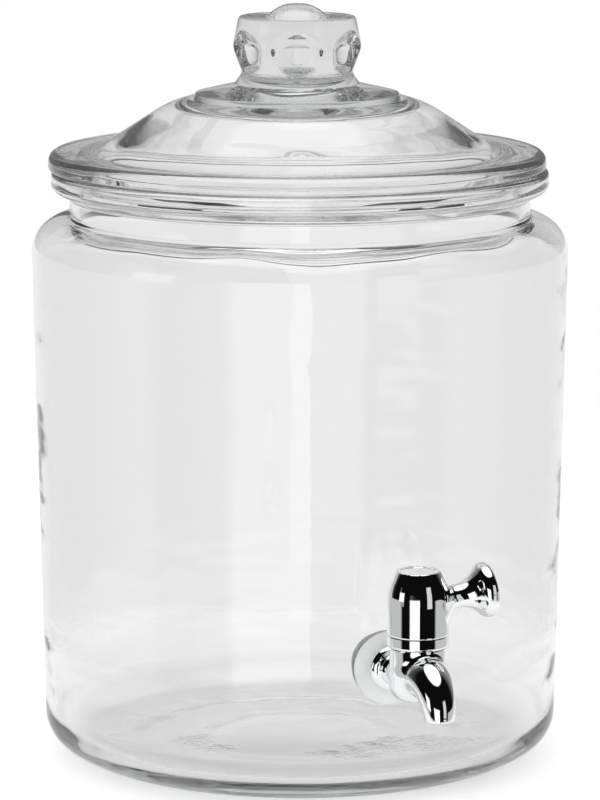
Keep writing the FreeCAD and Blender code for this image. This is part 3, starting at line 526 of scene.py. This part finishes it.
# Lid: a pressed glass dome on a flat flange, hollow underneath with a plug ring that drops into
# the mouth, and a solid knob with six scooped panels under a small dome.
LID_SHIFT = -1.4
LID_TURN = math.radians(10.7)
LID_CLEARANCE = 0.08
LID_COLUMN_STEP = 1.25
LID_SPACING = 3.0
LID_PROFILE = [
    (0, 300.6, FLAT), (54.3, 300.6, 12), (95.5, 278.25, 1.6), (95.5, 268.5, 1.6), (100.3, 268.5, 1.6),
    (100.3, 275.5 + LID_CLEARANCE, FLAT), (115.2, 275.5 + LID_CLEARANCE, 2), (115.2, 284.2, 4.7), (93.4, 284.2, 30),
    (59.8, 306.1, 48), (50.4, 308.4, FLAT), (48.0, 307.4, FLAT), (47.0, 310.8, 1.3), (29, 315, FLAT),
    (25.4, 320, 4), (29.8, 332, 9), (27.0, 346.2, 1.8), (14.3, 345.2, FLAT), (8.5, 351.8, 15.4),
    (0, 351.8, FLAT),
]
PANEL_AXIS = 53.6
PANEL_COUNT = 6
PANEL_PROFILE = [(26.6, 318.6, FLAT), (30, 324, 4), (30, 333.5, 9), (25.1, 341, FLAT)]
KNOB_FOOT = 317
KNOB_ROWS = 0.7
SCOOP_FROM = 18
SOFTNESS = 0.8
NO_CUT = 999.0

lid_profile = round_corners(LID_PROFILE, LID_SPACING)
in_knob = (lid_profile[:, 1] > KNOB_FOOT) & (lid_profile[:, 0] > 20)
fine = []
for index in range(len(lid_profile) - 1):
    fine.append(lid_profile[index])
    if in_knob[index] and in_knob[index + 1]:
        step = lid_profile[index + 1] - lid_profile[index]
        parts_wanted = max(1, int(np.hypot(*step) / KNOB_ROWS))
        fine.extend(lid_profile[index] + step * k / parts_wanted for k in range(1, parts_wanted))
fine.append(lid_profile[-1])
lid_profile = np.array(fine)
around = np.radians(np.arange(0, 360, LID_COLUMN_STEP))
radius = np.repeat(lid_profile[:, :1], len(around), axis=1)
height = lid_profile[:, 1]
panel_profile = round_corners(PANEL_PROFILE, 0.5)
order = np.argsort(panel_profile[:, 1])
cut_radius = np.interp(height, panel_profile[order, 1], panel_profile[order, 0], left=0, right=0)[:, None]
off_axis = (around + math.pi / PANEL_COUNT) % (2 * math.pi / PANEL_COUNT) - math.pi / PANEL_COUNT
reach = cut_radius ** 2 - (PANEL_AXIS * np.sin(off_axis)) ** 2
scoop = PANEL_AXIS * np.cos(off_axis) - np.sqrt(np.maximum(reach, 0))
scoop = np.where((reach > 0) & (radius > SCOOP_FROM), scoop, NO_CUT)
gap = np.clip(0.5 + 0.5 * (scoop - radius) / SOFTNESS, 0, 1)
radius = np.minimum(radius, scoop) - SOFTNESS * gap * (1 - gap)
turn = around + LID_TURN
points = np.stack([
    radius * np.cos(turn) + LID_SHIFT, radius * np.sin(turn), np.repeat(height[:, None], len(around), axis=1),
], axis=-1)
points = np.vstack([points[0, :1], points[1:-1].reshape(-1, 3), points[-1, :1]])
walls, caps = lathe_faces(len(lid_profile), len(around))
lid = mesh_piece("lid_glass", points, walls + caps)
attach(lid, "vessel")
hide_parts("lid")
lid.data.materials.append(glass_look("lid_glass_look"))


# Tap: chromed brass castings. Each casting is one smooth skin round a solid that is given by
# distances: turned profiles, the swept spout and the flared lever, melted together at their roots.
VALVE_DISTANCE = 156.22
TAP_CELL = 0.5
DRAW_STEPS = 4
NUDGE = 0.02
LEAST_SLOPE = 0.3
LONGEST_MOVE = 0.3
BODY_PROFILE = [
    (0, -6.6, FLAT), (12.45, -6.6, 5.5), (12.45, 17.2, 0.35), (11.4, 17.2, FLAT), (11.4, 20.6, FLAT),
    (0, 20.6, FLAT),
]
ARM_PROFILE = [
    (0, 2, FLAT), (6.4, 2, FLAT), (6.4, 29.7, 1.5), (10.5, 29.7, 3.2), (10.5, 33.9, 0.3), (0, 33.9, FLAT),
]
ARM_MELT = 1.2
SHANK_RADIUS = 8.0
SHANK_START = 33.0
SHANK_END = 53.1
CORE_BORE = 8.0
CORE_BORE_FOOT = -4.6
WATERWAY = 4.5
SPOUT_RISE = 5.0
SPOUT_REACH = 26.3
SPOUT_BEND = 15.3
SPOUT_ROOT = 11.2
SPOUT_END = 6.7
SPOUT_WALL = 1.9
SPOUT_MELT = 2.2
BELL_PROFILE = [
    (0, 22.4, FLAT), (13.65, 22.4, 0.4), (13.65, 43.0, 26), (9.7, 50.8, 0.35), (9.1, 50.8, 0.2), (9.1, 49.8, 0.3),
    (0, 49.8, FLAT),
]
BELL_CAVITY = [(4.4, 22.3, FLAT), (11.6, 22.3, FLAT), (11.6, 43.0, FLAT), (8.7, 44.0, FLAT), (4.4, 44.0, FLAT)]
CROWN_FROM = 49
CROWN_REACH = 15
SOCKET_RADIUS = 4.4
SOCKET_TOP = 38
LEVER_HEIGHT = 35.5
LEVER_UNDERSIDE = 22.6
LEVER_TILT = math.radians(8.6)
LEVER_MELT = 3.0
LEVER_PROFILE = [
    (0, 8.25, FLAT), (10.8, 8.25, FLAT), (5.3, 15.0, 6), (5.3, 23.6, 11), (12.3, 29.2, 4.4), (12.3, 34.2, 2),
    (0, 35.1, FLAT),
]


def turned_distance(profile, out, along):
    """Signed distance from points (out, along) to a closed profile: negative inside it.

    The distance is the least over the profile's edges of |p - a - t(b - a)|, with t held to 0..1,
    and the sign comes from counting the edges that lie beyond the point.
    """
    line = round_corners(profile, 50.0)
    best = np.full(out.shape, 1e9)
    inside = np.zeros(out.shape, bool)
    for (ar, az), (br, bz) in zip(line, np.roll(line, -1, axis=0)):
        dr, dz = br - ar, bz - az
        span = max(dr * dr + dz * dz, 1e-12)
        t = np.clip(((out - ar) * dr + (along - az) * dz) / span, 0, 1)
        if max(ar, br) > 1e-6:
            best = np.minimum(best, (out - ar - t * dr) ** 2 + (along - az - t * dz) ** 2)
        crosses = (az > along) != (bz > along)
        reach = ar + dr * (along - az) / (dz if abs(dz) > 1e-9 else 1e-9)
        inside ^= crosses & (out < reach)
    return np.where(inside, -1, 1) * np.sqrt(best)


def melt(first, second, blend):
    """Smooth union: min(a, b) - blend * h * (1 - h), with h = 0.5 + (b - a) / (2 * blend) in 0..1."""
    share = np.clip(0.5 + 0.5 * (second - first) / blend, 0, 1)
    return second + (first - second) * share - blend * share * (1 - share)


def spout_distance(x, y, z):
    """Distances to the spout's skin and to its bore, swept along a straight line and a bend."""
    forward = -y
    bend_from = SPOUT_REACH - SPOUT_BEND
    bend_z = SPOUT_RISE - SPOUT_BEND
    angle = np.clip(np.arctan2(forward - bend_from, z - bend_z), 0, math.pi / 2)
    straight = np.clip(forward, 0, bend_from)
    on_bend = forward > bend_from
    path_y = np.where(on_bend, bend_from + SPOUT_BEND * np.sin(angle), straight)
    path_z = np.where(on_bend, bend_z + SPOUT_BEND * np.cos(angle), SPOUT_RISE)
    run = np.where(on_bend, bend_from + SPOUT_BEND * angle, straight)
    share = run / (bend_from + SPOUT_BEND * math.pi / 2)
    away = np.sqrt(x ** 2 + (forward - path_y) ** 2 + (z - path_z) ** 2)
    skin = away - (SPOUT_ROOT + (SPOUT_END - SPOUT_ROOT) * share)
    bore = away - (WATERWAY + (SPOUT_END - SPOUT_WALL - WATERWAY) * share)
    bore = np.where((z < bend_z) & on_bend, np.hypot(x, forward - SPOUT_REACH) - SPOUT_END + SPOUT_WALL, bore)
    return np.maximum(skin, bend_z - z), bore


def body_distance(x, y, z):
    """The chamber, arm, flange, shank and spout in one casting, with its bores."""
    out = np.hypot(x, y)
    sideways = np.hypot(x, z)
    skin, bore = spout_distance(x, y, z)
    form = melt(turned_distance(BODY_PROFILE, out, z), skin, SPOUT_MELT)
    form = melt(form, turned_distance(ARM_PROFILE, sideways, y), ARM_MELT)
    form = np.minimum(form, np.maximum(sideways - SHANK_RADIUS, np.maximum(SHANK_START - y, y - SHANK_END)))
    core = np.maximum(out - CORE_BORE, CORE_BORE_FOOT - z)
    way = np.maximum(sideways - WATERWAY, -y)
    return np.maximum(form, -np.minimum(np.minimum(core, way), bore))


def handle_distance(x, y, z):
    """The hollow bell with its recessed crown, and the flared lever that grows out of its side."""
    bell = turned_distance(BELL_PROFILE, np.hypot(x, y), z)
    rise = z - LEVER_HEIGHT
    along = x * math.cos(LEVER_TILT) + rise * math.sin(LEVER_TILT)
    across = rise * math.cos(LEVER_TILT) - x * math.sin(LEVER_TILT)
    lever = turned_distance(LEVER_PROFILE, np.hypot(y, across), along)
    outside = melt(bell, np.maximum(lever, LEVER_UNDERSIDE - z), LEVER_MELT)
    outside = np.where((z > CROWN_FROM) & (np.hypot(x, y) < CROWN_REACH), bell, outside)
    cavity = turned_distance(BELL_CAVITY, np.hypot(x, y), z)
    socket = np.maximum(np.hypot(x, y) - SOCKET_RADIUS, z - SOCKET_TOP)
    return np.maximum(outside, -np.minimum(cavity, socket))


def skin_of(name, distance, low, high):
    """The skin where distance is 0: one vertex per crossed cell, drawn on to the surface.

    Each vertex starts at the mean of its cell's crossings and moves by -d * grad(d) / |grad(d)|^2.
    """
    axes = [np.arange(a - TAP_CELL, b + 2 * TAP_CELL, TAP_CELL) for a, b in zip(low, high)]
    field = distance(*np.meshgrid(*axes, indexing="ij"))
    solid = field < 0
    number = np.full([len(axis) - 1 for axis in axes], -1)
    total = np.zeros(number.shape + (3,))
    count = np.zeros(number.shape)
    spans = [slice(None, -1), slice(1, None)]
    links = []
    for axis in range(3):
        here = [slice(None)] * 3
        there = [slice(None)] * 3
        here[axis], there[axis] = spans
        first, second = field[tuple(here)], field[tuple(there)]
        crossed = np.argwhere((first < 0) != (second < 0))
        a, b = first[tuple(crossed.T)], second[tuple(crossed.T)]
        spot = crossed.astype(float)
        spot[:, axis] += a / (a - b)
        u, v = (axis + 1) % 3, (axis + 2) % 3
        ring = []
        for du, dv in ((0, 0), (1, 0), (1, 1), (0, 1)):
            cell = crossed.copy()
            cell[:, u] -= du
            cell[:, v] -= dv
            np.add.at(total, tuple(cell.T), spot)
            np.add.at(count, tuple(cell.T), 1)
            ring.append(cell)
        links.append((ring, a < 0))
    used = count > 0
    number[used] = np.arange(used.sum())
    spots = total[used] / count[used][:, None] * TAP_CELL + [axis[0] for axis in axes]
    faces = []
    for ring, outward in links:
        quad = np.stack([number[tuple(cell.T)] for cell in ring], axis=1)
        faces.append(np.where(outward[:, None], quad[:, ::-1], quad))
    for _ in range(DRAW_STEPS):
        here = distance(*spots.T)
        slopes = []
        for axis in range(3):
            nudge = np.zeros(3)
            nudge[axis] = NUDGE
            slopes.append((distance(*(spots + nudge).T) - distance(*(spots - nudge).T)) / (2 * NUDGE))
        slopes = np.stack(slopes, axis=1)
        strength = np.maximum((slopes ** 2).sum(axis=1), LEAST_SLOPE)
        move = here[:, None] * slopes / strength[:, None]
        spots = spots - np.clip(move, -LONGEST_MOVE, LONGEST_MOVE)
    return mesh_piece(name, spots + [0, -VALVE_DISTANCE, TAP_HEIGHT], np.concatenate(faces).tolist(), 50)


tap_body = skin_of("tap_casting", body_distance, (-13, -34, -14), (13, 54, 21))
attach(tap_body, "vessel")
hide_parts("tap_body")

tap_handle = skin_of("handle_casting", handle_distance, (-14, -14, 20), (37, 14, 54))
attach(tap_handle, "handle")
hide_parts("tap_handle")


# Finishes: bright chrome on the castings, collar and crown disc, plated steel on the screw, white
# plastic and black rings on the core, soft washers on both sides of the wall, and a plastic nut.
def metal_look(name, colour, rough, ripple):
    """Polished metal with faint casting ripples and fine wipe marks in its gloss."""
    look = bpy.data.materials.new(name)
    look.use_nodes = True
    g = Graph(look.node_tree)
    spot = g.put("ShaderNodeTexCoord").outputs["Object"]
    waves = g.put("ShaderNodeTexNoise", Vector=spot, Scale=90.0, Detail=1.0)
    marks = g.put("ShaderNodeTexNoise", Vector=spot, Scale=420.0, Detail=4.0)
    gloss = g.put("ShaderNodeMapRange", Value=marks.outputs[0], To_Min=rough * 0.4, To_Max=rough * 1.6)
    bump = g.put("ShaderNodeBump", Strength=ripple, Distance=0.0002, Height=waves.outputs[0])
    metal = g.put(
        "ShaderNodeBsdfPrincipled", Base_Color=colour, Metallic=1.0, Roughness=gloss.outputs[0],
        Normal=bump.outputs[0],
    )
    g.put("ShaderNodeOutputMaterial", Surface=metal.outputs[0])
    return look


def plastic_look(name, colour, rough, grain, spread=0.0):
    """Moulded plastic or rubber with a fine grain and slight cloudiness."""
    look = bpy.data.materials.new(name)
    look.use_nodes = True
    g = Graph(look.node_tree)
    spot = g.put("ShaderNodeTexCoord").outputs["Object"]
    cloud = g.put("ShaderNodeTexNoise", Vector=spot, Scale=140.0, Detail=3.0)
    grit = g.put("ShaderNodeTexNoise", Vector=spot, Scale=1800.0, Detail=2.0)
    darker = tuple(0.86 * c for c in colour[:3]) + (1,)
    tone = g.put(
        "ShaderNodeMix", {"data_type": "RGBA"}, Factor=cloud.outputs[0], A=darker, B=colour,
    )
    gloss = g.put("ShaderNodeMapRange", Value=cloud.outputs[0], To_Min=rough * 0.8, To_Max=rough * 1.2)
    bump = g.put("ShaderNodeBump", Strength=grain, Distance=0.0001, Height=grit.outputs[0])
    body = g.put(
        "ShaderNodeBsdfPrincipled", Base_Color=tone.outputs[2], Roughness=gloss.outputs[0],
        Normal=bump.outputs[0], Subsurface_Weight=spread,
    )
    g.put("ShaderNodeOutputMaterial", Surface=body.outputs[0])
    return look


chrome = metal_look("chrome_look", (0.9, 0.91, 0.92, 1), 0.02, 0.04)
steel = metal_look("screw_look", (0.6, 0.6, 0.61, 1), 0.25, 0.2)
LOOKS = {
    "bonnet_ring": chrome,
    "handle_disc": chrome,
    "handle_screw": steel,
    "valve_core": plastic_look("core_look", (0.82, 0.82, 0.8, 1), 0.35, 0.1),
    "core_rings": plastic_look("ring_look", (0.03, 0.03, 0.03, 1), 0.5, 0.2),
    "outer_washer": plastic_look("clear_washer_look", (0.86, 0.87, 0.87, 1), 0.3, 0.1),
    "inner_washer": plastic_look("grey_washer_look", (0.6, 0.61, 0.62, 1), 0.45, 0.15),
    "backing_washer": plastic_look("backing_look", (0.66, 0.67, 0.68, 1), 0.5, 0.15),
    "shank_nut": plastic_look("nut_look", (0.66, 0.67, 0.68, 1), 0.5, 0.15),
}
tap_body.data.materials.append(chrome)
tap_handle.data.materials.append(chrome)
for node, look in LOOKS.items():
    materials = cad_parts[node].data.materials
    materials.clear()
    materials.append(look)
